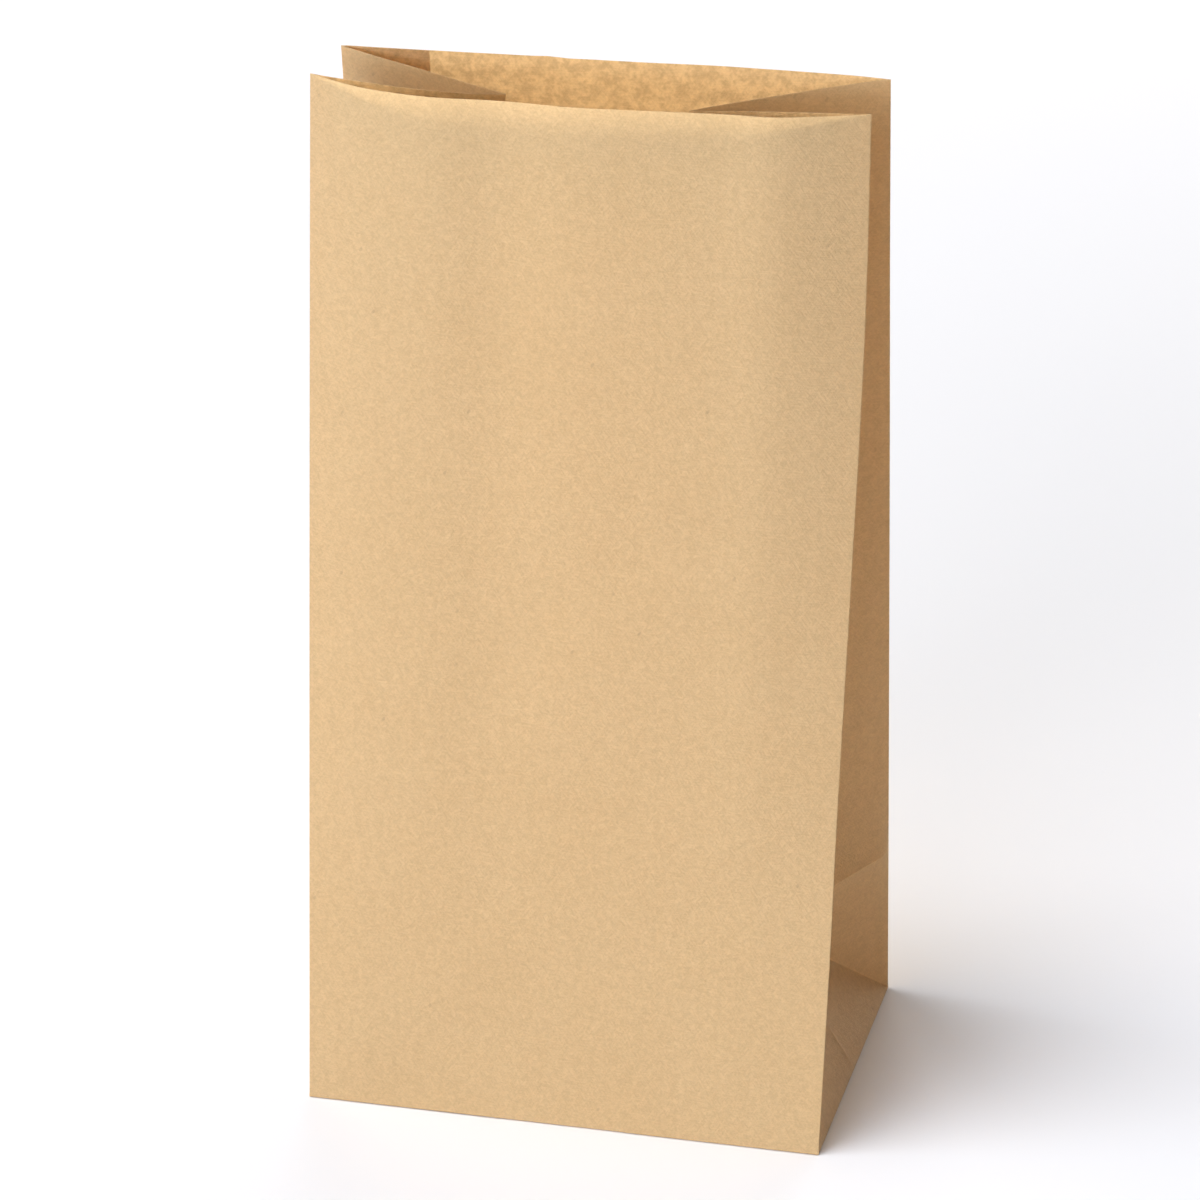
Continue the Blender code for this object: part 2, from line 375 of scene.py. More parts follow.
@dataclass
class FoldedSheet:
    """The whole bag as one folded sheet: lap, pleats, panels and block bottom."""

    sizes: SheetSizes
    left: PleatedSide
    right: PleatedSide
    front: WallPanel
    back: WallPanel
    settling: PaperSettling
    spacing: float = 3.1 * MM
    fold_radius: float = 0.3 * MM
    least_reach: float = 0.4 * MM
    most_reach: float = 1.5 * MM
    level_run: float = 1.5 * MM
    ridge_rise: float = 0.25 * MM
    ridge_reach: float = 3.0 * MM
    ridge_calm: float = 5.0 * MM
    ridge_fade: float = 0.75
    side_flap_plies: float = 3.1
    pleat_set_share: float = 1.6
    set_calm: float = 4.0 * MM
    set_fade: float = 0.5
    slant_calm: float = 10.0 * MM
    widest_gap: float = 12.0
    edge_angle: float = math.radians(40)
    least_turn: float = 0.05
    same_place: float = 1e-6
    cut_snap: float = 1e-7
    zone_slack: float = 1e-9
    fine: tuple[float, ...] = (0.12 * MM, 0.3 * MM, 0.6 * MM, 1.0 * MM, 1.5 * MM, 2.2 * MM)
    imprint_fine: tuple[float, ...] = (0.0, 0.8 * MM, 1.6 * MM, 2.6 * MM)
    mouth_fine: tuple[float, ...] = (1.2 * MM, 0.3 * MM)
    lap_columns: int = 9
    flap_end: float = 3.0 * MM
    edge_margin: float = 0.2 * MM
    fine_margin: float = 1.0 * MM
    imprint_margin: float = 0.6 * MM

    @property
    def folds(self) -> list[float]:
        """The upright folds, as distances round the bag from the glued corner."""
        s = self.sizes
        right = s.base_depth + s.base_width
        return [0.0, s.half_depth, s.base_depth, right, right + s.half_depth,
                right + s.base_depth]

    def run_stations(self, length: float) -> list[float]:
        """Places along a run between two folds, close together beside each fold."""
        near = self.fine
        count = max(2, round((length - 2 * near[-1]) / self.spacing))
        step = (length - 2 * near[-1]) / count
        middle = [near[-1] + step * index for index in range(1, count)]
        return [0.0, *near, *middle, *[length - gap for gap in reversed(near)]]

    def zones(self) -> list[tuple[Zone, float, float]]:
        """Each strip of the sheet, with where it starts and ends round the bag."""
        s = self.sizes
        deep, wide = s.base_depth, s.base_width
        return [
            (Zone.LAP, -s.lap_width, 0.0),
            (Zone.LEFT_PLEAT, 0.0, deep),
            (Zone.FRONT, deep, deep + wide),
            (Zone.RIGHT_PLEAT, deep + wide, 2 * deep + wide),
            (Zone.BACK, 2 * deep + wide, s.girth - s.lap_setback),
        ]

    def columns(self) -> list[float]:
        """Every column of the flat sheet, as a distance round the bag."""
        s = self.sizes
        half = self.run_stations(s.half_depth)
        spare = s.base_width - s.base_depth
        count = round(spare / self.spacing)
        middle = [s.half_depth + spare * index / count for index in range(count)]
        mirrored = [s.base_width - gap for gap in reversed(half)]
        panel = [*half, *middle, *mirrored]
        count = self.lap_columns
        found = [-s.lap_width + s.lap_width * index / count for index in range(count)]
        for zone, start, end in self.zones()[1:]:
            if zone.pleated:
                found += [start + gap for gap in half]
                found += [start + s.half_depth + gap for gap in half]
            else:
                last = end - self.edge_margin
                found += [start + gap for gap in panel if start + gap < last]
        found.append(self.zones()[-1][2])
        return found

    def rows(self) -> list[float]:
        """Every row of the flat sheet, as a height up the walls, below 0 for the flaps."""
        s = self.sizes
        half = self.run_stations(s.half_depth)
        flaps = [-s.flap_length, self.flap_end - s.flap_length, -s.half_depth]
        flaps += [-gap for gap in reversed(half[1:])]
        rise = s.wall_height - s.half_depth
        count = round(rise / self.spacing)
        near = [s.half_depth, *[s.half_depth + gap for gap in self.fine]]
        even = [s.half_depth + rise * index / count for index in range(1, count)]
        even = [row for row in even if row > near[-1] + self.fine_margin]
        gaps = sorted({way * gap for gap in self.imprint_fine for way in (-1, 1)})
        imprints = (self.settling.imprint_height, self.settling.pleat_imprint_height)
        marks = [middle + gap for middle in imprints for gap in gaps]
        plain = [row for row in near + even
                 if min(abs(row - mark) for mark in marks) > self.imprint_margin]
        mouth = [s.wall_height - gap for gap in self.mouth_fine]
        return flaps + half + sorted(plain + marks) + mouth + [s.wall_height]

    def flat_sheet(self) -> bmesh.types.BMesh:
        """The flat sheet as a grid whose columns and rows fall on the folds.

        Returns:
            A bmesh that lies flat, X as the distance round the bag and Y as the height.
        """
        columns, rows = self.columns(), self.rows()
        sheet = bmesh.new()
        bmesh.ops.create_grid(sheet, x_segments=len(columns) - 1, y_segments=len(rows) - 1,
                              size=1.0)
        for vert in sheet.verts:
            column = round((vert.co.x + 1) / 2 * (len(columns) - 1))
            row = round((vert.co.y + 1) / 2 * (len(rows) - 1))
            vert.co = Vector((columns[column], rows[row], 0.0))
        hidden = [face for face in sheet.faces
                  if face.calc_center_median().x < 0 and face.calc_center_median().y < 0]
        bmesh.ops.delete(sheet, geom=hidden, context="FACES")
        return sheet

    def score(self, sheet: bmesh.types.BMesh) -> None:
        """Cut the sheet along the slanting folds of the pleats and of the flaps."""
        s = self.sizes
        for zone, start, _ in self.zones()[1:]:
            stop = start + (s.base_depth if zone.pleated else s.base_width)
            for corner, turn in ((start, 1), (stop, -1)):
                rise = turn if zone.pleated else -turn
                self.cut(sheet, zone.pleated, corner, turn, rise)

    def cut(self, sheet: bmesh.types.BMesh, pleat: bool, corner: float, turn: int,
            rise: int) -> None:
        """Cut one slanting fold that starts at a base corner, and mark it as sharp.

        Args:
            sheet: the flat sheet.
            pleat: True for a fold of a pleat's wall, False for one of a flap.
            corner: the base corner, as a distance round the bag.
            turn: 1 if the fold runs on from the corner, -1 if it runs back.
            rise: 1 if the fold climbs as the distance grows, -1 if it falls.
        """
        s = self.sizes
        reach = (s.half_depth if pleat else s.flap_length) + self.same_place
        faces = []
        for face in sheet.faces:
            middle = face.calc_center_median()
            across = (middle.x - corner) * turn
            height = middle.y if pleat else -middle.y
            if 0 < across < reach and 0 < height < reach:
                faces.append(face)
        parts = {item for face in faces for item in (face, *face.verts, *face.edges)}
        done = bmesh.ops.bisect_plane(
            sheet, geom=list(parts), dist=self.cut_snap, plane_co=(corner, 0.0, 0.0),
            plane_no=Vector((rise, -1.0, 0.0)).normalized())
        for item in done["geom_cut"]:
            if isinstance(item, bmesh.types.BMEdge):
                item.smooth = False

    def locate(self, along: float) -> tuple[Zone, float]:
        """The zone that a distance round the bag falls in, and how far into it."""
        for zone, start, end in self.zones():
            if along <= end + self.zone_slack:
                return zone, along - start
        return zone, along - start

    def wall(self, zone: Zone, into: float, height: float) -> Vector:
        """A point of the walls, with every fold still a sharp line.

        Args:
            zone: the strip of the sheet.
            into: the distance from the strip's start.
            height: the height up the sheet.

        Returns:
            The place in space.
        """
        s = self.sizes
        if zone is Zone.LAP:
            share = (s.lap_width - into) / s.base_width
            return self.back.point(share, height) - Vector((0.0, self.left.tuck, 0.0))
        if zone is Zone.FRONT:
            return self.front.point(into / s.base_width, height)
        if zone is Zone.BACK:
            return self.back.point(1 - into / s.base_width, height)
        side = self.left if zone is Zone.LEFT_PLEAT else self.right
        first = Half.BACK if zone is Zone.LEFT_PLEAT else Half.FRONT
        second = Half.FRONT if first is Half.BACK else Half.BACK
        if into <= s.half_depth:
            return side.point(first, into, height)
        return side.point(second, s.base_depth - into, height)

    def flap(self, zone: Zone, into: float, down: float) -> Vector:
        """A point of the block bottom, where down is the distance past the walls' feet.

        The side flaps lie inside. The front and back flaps lie outside, and their ends
        fold back on themselves along a slant, so that the sheet goes round each corner.

        Args:
            zone: the strip of the sheet.
            into: the distance from the strip's start.
            down: how far past the walls' feet.

        Returns:
            The place in space.
        """
        s = self.sizes
        ply, foot = s.ply, s.floor_height
        run = smooth(0.0, self.level_run, down)
        if zone is Zone.LAP:
            zone, into = Zone.LEFT_PLEAT, 0.0
        if zone.pleated:
            sign = -1 if zone is Zone.LEFT_PLEAT else 1
            level = self.side_flap_plies * ply
            return Vector((sign * (s.half_width - down), sign * (into - s.half_depth),
                           foot + (level - foot) * run))
        outer = zone is Zone.BACK
        level = 0.0 if outer else ply
        right = into > s.half_width
        gap = s.base_width - into if right else into
        aside = (gap - down) / math.sqrt(2)
        turn_half = math.pi / 2 * ply
        if aside < turn_half:
            level += ply * (1 - math.sin(math.pi / 2 * max(-1.0, aside / turn_half)))
        if aside < 0:
            gap, down = down, gap
        back_sign = 1 if outer else -1
        x_sign = -back_sign if right else back_sign
        y = back_sign * (s.half_depth - down)
        return Vector((x_sign * (s.half_width - gap), y, foot + (level - foot) * run))

    def creased(self, along: float, height: float) -> Vector:
        """A point of the sheet, with the upright folds rounded."""
        zone, into = self.locate(along)
        if height < 0:
            return self.flap(zone, into, -height)
        fold = min(self.folds, key=lambda place: abs(place - along))
        if abs(fold - along) > self.most_reach:
            return self.wall(zone, into, height)
        corner = self.wall(*self.locate(fold), height)
        arms = [self.wall(*self.locate(fold + way * self.most_reach), height) - corner
                for way in (-1, 1)]
        half = arms[0].angle(arms[1]) / 2
        reach = self.fold_radius / max(math.tan(half), self.least_turn)
        reach = min(self.most_reach, max(self.least_reach, reach))
        if abs(fold - along) >= reach:
            return self.wall(zone, into, height)
        ends = [self.wall(*self.locate(fold + way * reach), height) for way in (-1, 1)]
        return bent(ends[0], corner, ends[1], (along - fold + reach) / (2 * reach))

    def place(self, along: float, height: float) -> Vector:
        """A point of the folded sheet, with the upright and the bottom folds rounded."""
        reach = self.least_reach
        if abs(height) >= reach:
            return self.creased(along, height)
        ends = [self.creased(along, way * reach) for way in (-1, 1)]
        share = (height + reach) / (2 * reach)
        return bent(ends[0], self.creased(along, 0.0), ends[1], share)

    def edge_gap(self, along: float) -> float:
        """The distance round the bag to the nearest upright fold."""
        return min(abs(along - fold) for fold in (*self.folds, self.sizes.girth))

    def fold_gap(self, along: float, height: float) -> float:
        """The distance on the sheet to the nearest fold or crease of any kind."""
        s = self.sizes
        zone, into = self.locate(along)
        gaps = [self.edge_gap(along), abs(height)]
        wide = s.base_depth if zone.pleated else s.base_width
        across = min(into, wide - into) if zone is not Zone.LAP else s.base_width
        if zone.pleated and 0 <= height <= s.half_depth:
            gaps.append(abs(height - across) / math.sqrt(2))
        if not zone.pleated and height < 0:
            gaps.append(abs(-height - across) / math.sqrt(2))
        back_half = zone is Zone.LEFT_PLEAT and into < s.half_depth
        back_half = back_half or (zone is Zone.RIGHT_PLEAT and into > s.half_depth)
        if zone in (Zone.BACK, Zone.LAP) or back_half:
            gaps.append(abs(height - s.half_depth))
        return min(gaps)

    def folded(self) -> bmesh.types.BMesh:
        """The folded and settled sheet as an open mesh, its outer face outwards.

        Returns:
            The sheet in space, with its own UV map of the flat sheet and its fold gaps.
        """
        sheet = self.flat_sheet()
        self.score(sheet)
        uv = sheet.loops.layers.uv.new(SHEET_UV)
        gap = sheet.verts.layers.float.new(FOLD_GAP)
        for face in sheet.faces:
            face.smooth = True
            for loop in face.loops:
                loop[uv].uv = loop.vert.co.xy
        flat = {vert: vert.co.xy.copy() for vert in sheet.verts}
        for vert, (along, height) in flat.items():
            vert[gap] = min(self.widest_gap, self.fold_gap(along, height) / MM)
            vert.co = self.place(along, height)
        sheet.normal_update()
        lifts = {}
        for vert, (along, height) in flat.items():
            zone, into = self.locate(along)
            lift = self.settling.lift(zone, self.edge_gap(along), along, height)
            if zone.pleated and height > 0:
                lift += self.pleat_set(zone, into, height) + self.centre_ridge(into, height)
            lifts[vert] = vert.normal * lift
        for vert, lift in lifts.items():
            vert.co += lift
        return sheet

    def pleat_set(self, zone: Zone, into: float, height: float) -> float:
        """The cross crease's set on the back half of a pleat, above its slanting fold."""
        s = self.sizes
        across = into if zone is Zone.LEFT_PLEAT else s.base_depth - into
        if across >= s.half_depth or height < across:
            return 0.0
        calm = smooth(0.0, self.set_calm, across) * smooth(0.0, self.slant_calm, height - across)
        calm *= 1 - smooth(self.set_fade, 1.0, across / s.half_depth)
        return self.pleat_set_share * self.settling.cross_crease(height) * calm

    def centre_ridge(self, into: float, height: float) -> float:
        """The faint ridge that the flat bag's centre fold leaves in a bottom triangle."""
        middle = self.sizes.half_depth
        near = max(0.0, 1 - abs(into - middle) / self.ridge_reach) ** 2
        ends = smooth(0.0, self.ridge_calm, height)
        ends *= 1 - smooth(self.ridge_fade, 1.0, height / middle)
        return self.ridge_rise * near * ends

    def build(self, finishes: list[bpy.types.Material]) -> bpy.types.Object:
        """The bag as one object, its sheet given the paper's thickness.

        Args:
            finishes: the materials of the outer face, the inner face and the cut edge.

        Returns:
            The piece that stands for the CAD bag.
        """
        sheet = self.folded()
        data = bpy.data.meshes.new("folded_kraft_sheet")
        sheet.to_mesh(data)
        sheet.free()
        bag = bpy.data.objects.new("folded_kraft_sheet", data)
        bpy.context.scene.collection.objects.link(bag)
        for finish in finishes:
            data.materials.append(finish)
        wall = bag.modifiers.new("paper_thickness", "SOLIDIFY")
        wall.thickness = self.sizes.paper
        wall.offset = -1.0
        wall.material_offset = 1
        wall.material_offset_rim = 2
        solid = bag.evaluated_get(bpy.context.evaluated_depsgraph_get())
        bag.data = bpy.data.meshes.new_from_object(solid)
        bag.data.name = "folded_kraft_sheet"
        bag.modifiers.clear()
        bag.data.set_sharp_from_angle(angle=self.edge_angle)
        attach(bag, "root")
        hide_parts(NODE)
        return bag


class Bench:
    """A node tree being wired: each method adds one node and returns its output."""

    def __init__(self, tree: bpy.types.NodeTree) -> None:
        """Take the tree that the nodes go into."""
        self.tree = tree

    def add(self, kind: str, inputs: dict | None = None, **settings: object) -> bpy.types.Node:
        """Add a node with its settings, and link or set its inputs.

        Args:
            kind: the node's type name.
            inputs: what goes into each input, by name or number.
            settings: properties of the node itself.

        Returns:
            The new node.
        """
        node = self.tree.nodes.new(kind)
        for name, value in settings.items():
            setattr(node, name, value)
        for name, value in (inputs or {}).items():
            if isinstance(value, Socket):
                self.tree.links.new(value, node.inputs[name])
            else:
                node.inputs[name].default_value = value
        return node

    def sum(self, kind: str, first: object, second: object = 0.0, third: object = 0.0,
            clamp: bool = False) -> Socket:
        """The result of one Math node."""
        node = self.add("ShaderNodeMath", {0: first, 1: second, 2: third}, operation=kind,
                        use_clamp=clamp)
        return node.outputs[0]

    def cloud(self, place: object, scale: float, detail: float = 2.0,
              rough: float = 0.5) -> Socket:
        """A noise value of about 0 to 1."""
        node = self.add("ShaderNodeTexNoise", {"Vector": place, "Scale": scale, "Detail": detail,
                                               "Roughness": rough}, noise_dimensions="2D")
        return node.outputs[0]

    def span(self, value: object, low: float, high: float, to_low: float = 0.0,
             to_high: float = 1.0) -> Socket:
        """A value from one range, brought smoothly into another."""
        node = self.add("ShaderNodeMapRange",
                        {"Value": value, "From Min": low, "From Max": high, "To Min": to_low,
                         "To Max": to_high}, interpolation_type="SMOOTHSTEP")
        return node.outputs[0]

    def turned(self, place: object, angle: float, scale: Triple,
               move: Triple = (0.0, 0.0, 0.0)) -> Socket:
        """A place that is turned first and then scaled, so that a pattern is stretched."""
        spun = self.add("ShaderNodeVectorRotate", {"Vector": place, "Angle": math.radians(angle)},
                        rotation_type="Z_AXIS")
        node = self.add("ShaderNodeMapping", {"Vector": spun.outputs[0], "Scale": scale,
                                              "Location": move})
        return node.outputs[0]

    def blend(self, share: object, first: object, second: object) -> Socket:
        """Two colours blended."""
        node = self.add("ShaderNodeMix", {0: share, 6: first, 7: second}, data_type="RGBA")
        return node.outputs[2]

    def either(self, share: object, first: object, second: object) -> Socket:
        """Two shaders mixed."""
        return self.add("ShaderNodeMixShader", {0: share, 1: first, 2: second}).outputs[0]


def group(name: str, takes: dict[str, float | None],
          gives: Iterable[str]) -> tuple[Bench, bpy.types.Node, bpy.types.Node]:
    """A new shader node group with named sockets.

    Args:
        name: the group's name.
        takes: its inputs, None for a vector and a number for a value with that default.
        gives: the names of its outputs, all of them values.

    Returns:
        The bench to wire it on, its input node and its output node.
    """
    tree = bpy.data.node_groups.new(name, "ShaderNodeTree")
    for label, default in takes.items():
        kind = "NodeSocketVector" if default is None else "NodeSocketFloat"
        socket = tree.interface.new_socket(name=label, in_out="INPUT", socket_type=kind)
        if default is not None:
            socket.default_value = default
    for label in gives:
        tree.interface.new_socket(name=label, in_out="OUTPUT", socket_type="NodeSocketFloat")
    return Bench(tree), tree.nodes.new("NodeGroupInput"), tree.nodes.new("NodeGroupOutput")


def fibre_group() -> bpy.types.NodeTree:
    """Short fibres that lie in every direction, as pale strands, dark strands and a height."""
    bench, takes, gives = group("kraft_fibres", {"Sheet": None}, ("Pale", "Dark", "Height"))
    place = takes.outputs["Sheet"]
    pale, dark = [], []
    for index, angle in enumerate((4.0, 56.0, 127.0)):
        across, along = 2050.0 - 160 * index, 380.0 + 60 * index
        shift = (7.3 * index, 3.1 * index, 0.0)
        strand = bench.turned(place, angle, (along, across, 1.0), shift)
        value = bench.cloud(strand, 1.0, 1.0, 0.6)
        pale.append(bench.span(value, 0.53, 0.76))
        dark.append(bench.span(value, 0.47, 0.24))
    totals = {}
    for name, strands in (("Pale", pale), ("Dark", dark)):
        totals[name] = strands[0]
        for strand in strands[1:]:
            totals[name] = bench.sum("MAXIMUM", totals[name], strand)
    totals["Height"] = bench.sum("SUBTRACT", totals["Pale"], totals["Dark"])
    for name, total in totals.items():
        bench.tree.links.new(total, gives.inputs[name])
    return bench.tree


def formation_group() -> bpy.types.NodeTree:
    """The uneven spread of the pulp: flocs, wide drifts, machine-direction streaks and grain."""
    bench, takes, gives = group("kraft_formation", {"Sheet": None},
                                ("Flocs", "Drift", "Streaks", "Grain"))
    place = takes.outputs["Sheet"]
    streaks = bench.cloud(bench.turned(place, 0.0, (900.0, 34.0, 1.0)), 1.0, 1.0, 0.6)
    made = {"Flocs": bench.cloud(place, 270.0, 2.0, 0.72),
            "Drift": bench.cloud(place, 26.0, 2.0, 0.55), "Streaks": streaks,
            "Grain": bench.cloud(place, 1500.0, 2.0, 0.75)}
    for name, value in made.items():
        bench.tree.links.new(value, gives.inputs[name])
    return bench.tree


def speck_group() -> bpy.types.NodeTree:
    """Scattered shives: a few small dark specks and reddish flecks of bark."""
    bench, takes, gives = group("kraft_shives", {"Sheet": None, "Scale": 240.0, "Share": 0.025},
                                ("Specks",))
    cell = bench.add("ShaderNodeTexVoronoi",
                     {"Vector": bench.turned(takes.outputs["Sheet"], 31.0, (1.0, 0.55, 1.0)),
                      "Scale": takes.outputs["Scale"]}, voronoi_dimensions="2D")
    near = bench.span(cell.outputs["Distance"], 0.13, 0.05)
    parts = bench.add("ShaderNodeSeparateColor", {0: cell.outputs["Color"]})
    chosen = bench.sum("LESS_THAN", parts.outputs[0], takes.outputs["Share"])
    made = bench.sum("MULTIPLY", near, chosen)
    made = bench.sum("MULTIPLY", made, bench.span(parts.outputs[1], 0.0, 1.0, 0.35, 1.0))
    bench.tree.links.new(made, gives.inputs["Specks"])
    return bench.tree


def fold_wear_and_light_group() -> bpy.types.NodeTree:
    """Fold marks: a broken paler line at the fold, part wear and part painted highlight, and a
    wide faint painted shade beside it.
    """
    bench, takes, gives = group("fold_wear_and_painted_light", {"Sheet": None, "Gap": 10.0, "Width": 0.5},
                                ("Line", "Painted Fold Shade"))
    rag = bench.span(bench.cloud(takes.outputs["Sheet"], 700.0, 1.0, 0.7), 0.25, 0.75, -0.3, 0.3)
    gap = bench.sum("ADD", takes.outputs["Gap"], rag)
    share = bench.sum("DIVIDE", gap, takes.outputs["Width"])
    line = bench.span(share, 1.0, 0.15)
    breaks = bench.span(bench.cloud(takes.outputs["Sheet"], 150.0, 1.0, 0.6), 0.3, 0.6, 0.35, 1.0)
    # the paler line at the fold: partly worn paper, partly a painted highlight
    bench.tree.links.new(bench.sum("MULTIPLY", line, breaks), gives.inputs["Line"])
    # painted shade: a wide band that darkens the colour beside the fold
    bench.tree.links.new(bench.span(share, 6.0, 0.5), gives.inputs["Painted Fold Shade"])
    return bench.tree


@dataclass(frozen=True)
class KraftFinish:
    """Uncoated brown kraft paper, by its colours and how strongly each of its marks shows."""

    name: str
    colour: Triple = (0.88, 0.645, 0.335)
    deep: Triple = (0.78, 0.54, 0.25)
    shine_through: Triple = (0.79, 0.64, 0.42)
    translucence: float = 0.38
    roughness: float = 0.86
    flocs: float = 0.10
    drift: float = 0.12
    streaks: float = 0.10
    grain: float = 0.45
    pale_fibres: float = 0.28
    dark_fibres: float = 0.26
    specks: float = 0.30
    speck_colour: Triple = (0.21, 0.105, 0.05)
    glow_mottle: float = 0.90
    # how strongly the fold line shows, part wear and part painted highlight; it also scales the
    # painted shade beside the folds
    fold_wear_and_light: float = 0.35
    # painted shade beside the folds, as a share of the fold line's strength
    painted_fold_shade: float = 0.10
    bump: float = 0.12 * MM

    def build(self, groups: dict[str, bpy.types.NodeTree]) -> bpy.types.Material:
        """The material, wired from the shared groups.

        Args:
            groups: the shared node groups by name.

        Returns:
            The finished material.
        """
        material = bpy.data.materials.new(self.name)
        material.use_nodes = True
        material.node_tree.nodes.clear()
        bench = Bench(material.node_tree)
        sheet = bench.add("ShaderNodeUVMap", uv_map=SHEET_UV).outputs[0]
        gap = bench.add("ShaderNodeAttribute", attribute_name=FOLD_GAP).outputs["Fac"]
        parts = {name: bench.add("ShaderNodeGroup", node_tree=tree)
                 for name, tree in groups.items()}
        for part in parts.values():
            bench.tree.links.new(sheet, part.inputs["Sheet"])
        bench.tree.links.new(gap, parts["fold_wear_and_light"].inputs["Gap"])
        colour = self.coloured(bench, parts)
        shader = bench.add("ShaderNodeBsdfPrincipled",
                           {"Base Color": colour, "Roughness": self.rough(bench, parts),
                            "Normal": self.relief(bench, parts), "Specular IOR Level": 0.45,
                            "Sheen Weight": 0.15, "Sheen Roughness": 0.5})
        glow = bench.blend(bench.span(parts["formation"].outputs["Flocs"], 0.32, 0.68),
                           (*self.shine_through, 1.0),
                           self.scaled(self.shine_through, self.glow_mottle))
        through = bench.add("ShaderNodeBsdfTranslucent", {"Color": glow})
        near = bench.either(self.translucence, shader.outputs[0], through.outputs[0])
        seen = bench.add("ShaderNodeLightPath").outputs["Is Camera Ray"]
        shown = bench.either(seen, self.bounced(bench), near)
        bench.add("ShaderNodeOutputMaterial", {"Surface": shown})
        return material

    def bounced(self, bench: Bench) -> Socket:
        """The paper as bounced light meets it: its mean colours, without fine marks.

        Light that is already between the two faces goes out through the far one.
        """
        mean = tuple((light + dark) / 2 for light, dark in zip(self.colour, self.deep))
        plain = bench.add("ShaderNodeBsdfDiffuse", {"Color": (*mean, 1.0)})
        glow = self.scaled(self.shine_through, (1 + self.glow_mottle) / 2)
        through = bench.add("ShaderNodeBsdfTranslucent", {"Color": glow})
        face = bench.either(self.translucence, plain.outputs[0], through.outputs[0])
        behind = bench.add("ShaderNodeNewGeometry").outputs["Backfacing"]
        return bench.either(behind, face, through.outputs[0])

    def scaled(self, colour: Triple, share: float) -> tuple[float, ...]:
        """A colour with its light scaled by a share."""
        return (*[part * share for part in colour], 1.0)

    def coloured(self, bench: Bench, parts: dict[str, bpy.types.Node]) -> Socket:
        """The paper's colour, from its pulp, fibres and specks, with a paler fold line that is
        part wear and part painted highlight, and painted shade beside the folds.
        """
        pulp, fibres, fold_wear_and_light = (parts[name].outputs for name in ("formation", "fibres", "fold_wear_and_light"))
        shade = 0.0
        for name, low, high, strength in (
                ("Flocs", 0.32, 0.70, self.flocs), ("Drift", 0.3, 0.7, self.drift),
                ("Streaks", 0.3, 0.75, self.streaks), ("Grain", 0.3, 0.7, self.grain)):
            shade = bench.sum("MULTIPLY_ADD", bench.span(pulp[name], low, high), strength, shade)
        colour = bench.blend(shade, (*self.colour, 1.0), (*self.deep, 1.0))
        for mark, strength, tint in (
                (fibres["Pale"], self.pale_fibres, self.scaled(self.colour, 1.28)),
                (fibres["Dark"], self.dark_fibres, self.scaled(self.deep, 0.72)),
                (parts["shives"].outputs["Specks"], self.specks, (*self.speck_colour, 1.0)),
                # painted shade: a wide faint darkening beside every fold
                (fold_wear_and_light["Painted Fold Shade"], self.painted_fold_shade * self.fold_wear_and_light, self.scaled(self.deep, 0.9)),
                # a paler line at each fold: partly worn paper, partly a painted highlight
                (fold_wear_and_light["Line"], self.fold_wear_and_light, self.scaled(self.colour, 1.22))):
            colour = bench.blend(bench.sum("MULTIPLY", mark, strength), colour, tint)
        return colour

    def rough(self, bench: Bench, parts: dict[str, bpy.types.Node]) -> Socket:
        """The roughness, a little lower along pale fibres and higher in flocs and worn folds."""
        base = bench.span(parts["formation"].outputs["Flocs"], 0.3, 0.7, self.roughness - 0.06,
                          self.roughness + 0.04)
        worn = bench.sum("MULTIPLY_ADD", parts["fold_wear_and_light"].outputs["Line"], 0.1, base)
        return bench.sum("MULTIPLY_ADD", parts["fibres"].outputs["Pale"], -0.05, worn, clamp=True)

    def relief(self, bench: Bench, parts: dict[str, bpy.types.Node]) -> Socket:
        """The fine relief of fibres, flocs and grain, as a normal."""
        pulp = parts["formation"].outputs
        height = bench.sum("MULTIPLY_ADD", pulp["Flocs"], 0.7, parts["fibres"].outputs["Height"])
        height = bench.sum("MULTIPLY_ADD", pulp["Grain"], 0.5, height)
        node = bench.add("ShaderNodeBump", {"Strength": 0.55, "Distance": self.bump,
                                            "Height": height})
        return node.outputs[0]


@dataclass(frozen=True)
class SoftLight:
    """A large soft lamp, by where it hangs and how strong it is.

    The bearing is in degrees from the front towards the right, and the rise in degrees.
    """

    name: str
    bearing: float
    rise: float
    distance: float
    size: tuple[float, float]
    power: float
    colour: Triple = (1.0, 1.0, 1.0)
    aim_height: float = 0.12

    def place(self) -> bpy.types.Object:
        """Hang the lamp and turn it towards the bag."""
        data = bpy.data.lights.new(self.name, "AREA")
        data.shape = "RECTANGLE"
        data.size, data.size_y = self.size
        data.energy = self.power
        data.color = self.colour
        lamp = bpy.data.objects.new(self.name, data)
        turn, lift = math.radians(self.bearing), math.radians(self.rise)
        aim = Vector((math.sin(turn) * math.cos(lift), -math.cos(turn) * math.cos(lift),
                      math.sin(lift)))
        lamp.location = aim * self.distance + Vector((0.0, 0.0, self.aim_height))
        lamp.rotation_euler = aim.to_track_quat("Z", "Y").to_euler()
        bpy.context.scene.collection.objects.link(lamp)
        return lamp


